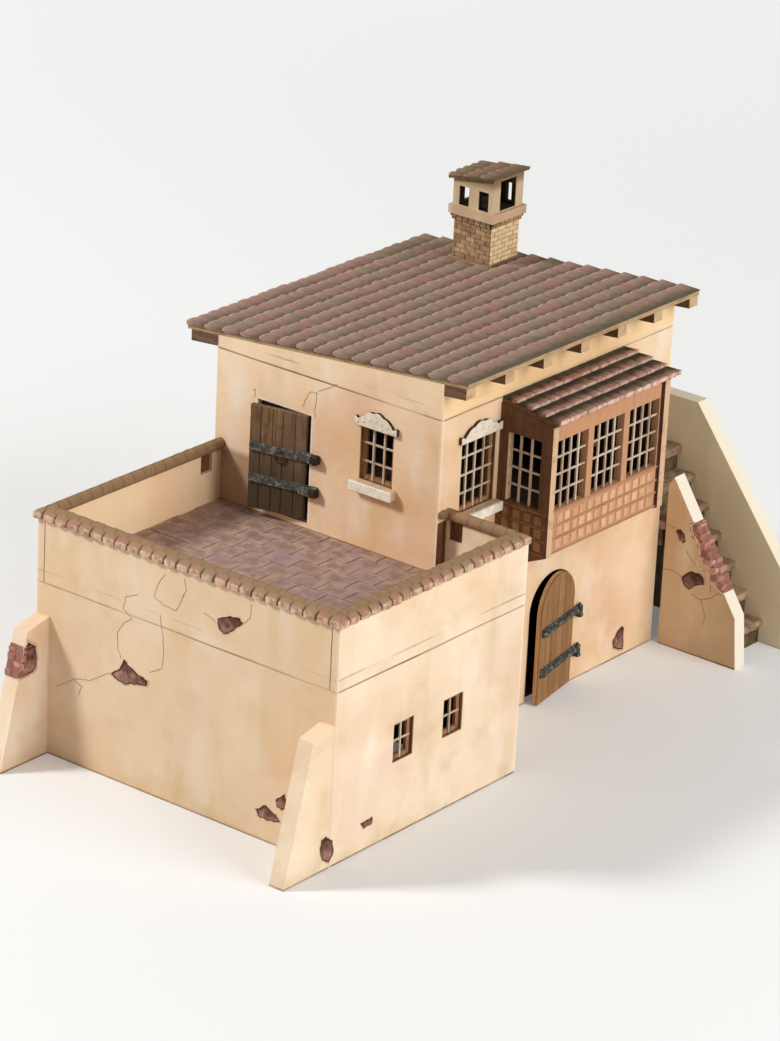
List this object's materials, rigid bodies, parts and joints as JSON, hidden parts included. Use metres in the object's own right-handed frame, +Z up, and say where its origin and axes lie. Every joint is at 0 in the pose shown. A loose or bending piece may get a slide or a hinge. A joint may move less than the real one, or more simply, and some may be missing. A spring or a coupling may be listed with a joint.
{
  "type": "tabletop model of a two-storey adobe house with a roof terrace",
  "caption": "Tabletop scale model of an adobe house with a walled terrace, an oriel, an outside stair and a chimney, made of painted cut board.",
  "frame": {"origin": "on the ground, under the middle of the house's outer box", "axes": "+X along the front from the terrace end to the stair end, +Y towards the back, +Z up"},
  "size_m": [0.28, 0.1552, 0.1674],
  "materials": {
    "plaster": "matt painted board",
    "roof_tiles": "matt painted engraved board",
    "paving": "matt painted engraved board",
    "dark_timber": "matt painted board",
    "red_timber": "matt painted engraved board",
    "bare_board": "scorched laser-cut board",
    "pale_trim": "matt painted board",
    "door_planks": "matt painted engraved board",
    "grey_iron": "grey painted board",
    "chimney_brick": "matt painted engraved board",
    "stair_stone": "matt painted board"
  },
  "bodies": {
    "house": {"ground_floor": "bare_board", "block_end_wall": "plaster", "block_front_wall": "plaster", "block_back_wall": "plaster", "block_return_wall": "plaster", "parapet_end": "plaster", "parapet_front": "plaster", "parapet_back": "plaster", "terrace_deck": "paving", "coping_end": "roof_tiles", "coping_front": "roof_tiles", "coping_back": "roof_tiles", "coping_return": "roof_tiles", "buttresses": "plaster", "front_wall_left": "plaster", "front_wall_right": "plaster", "front_wall_arch": "plaster", "front_wall_upper": "plaster", "left_wall": "plaster", "right_wall": "plaster", "back_wall": "plaster", "wall_head": "plaster", "upper_floor": "bare_board", "roof": "roof_tiles", "rafter_tails": "dark_timber", "oriel_sides": "dark_timber", "oriel_front": "red_timber", "oriel_floor": "bare_board", "oriel_roof": "roof_tiles", "window_frames": "bare_board", "window_surrounds": "pale_trim", "upper_doors": "door_planks", "upper_door_straps": "grey_iron", "hinge_pins": "grey_iron", "chimney_shaft": "chimney_brick", "chimney_collar": "pale_trim", "chimney_lantern": "chimney_brick", "chimney_cap": "roof_tiles", "stair_walls": "plaster", "stair_treads": "stair_stone", "stair_risers": "stair_stone", "stair_landing": "stair_stone", "landing_wall": "plaster"},
    "door_leaf": {"arched_door": "door_planks", "arched_door_straps": "grey_iron"}
  },
  "joints": [
    {"name": "arched_door_hinge", "type": "hinge", "parent": "house", "child": "door_leaf", "pos_m": [0.059, -0.03675, 0.02], "axis": [0, 0, 1], "range_deg": [-10, 85]}
  ]
}
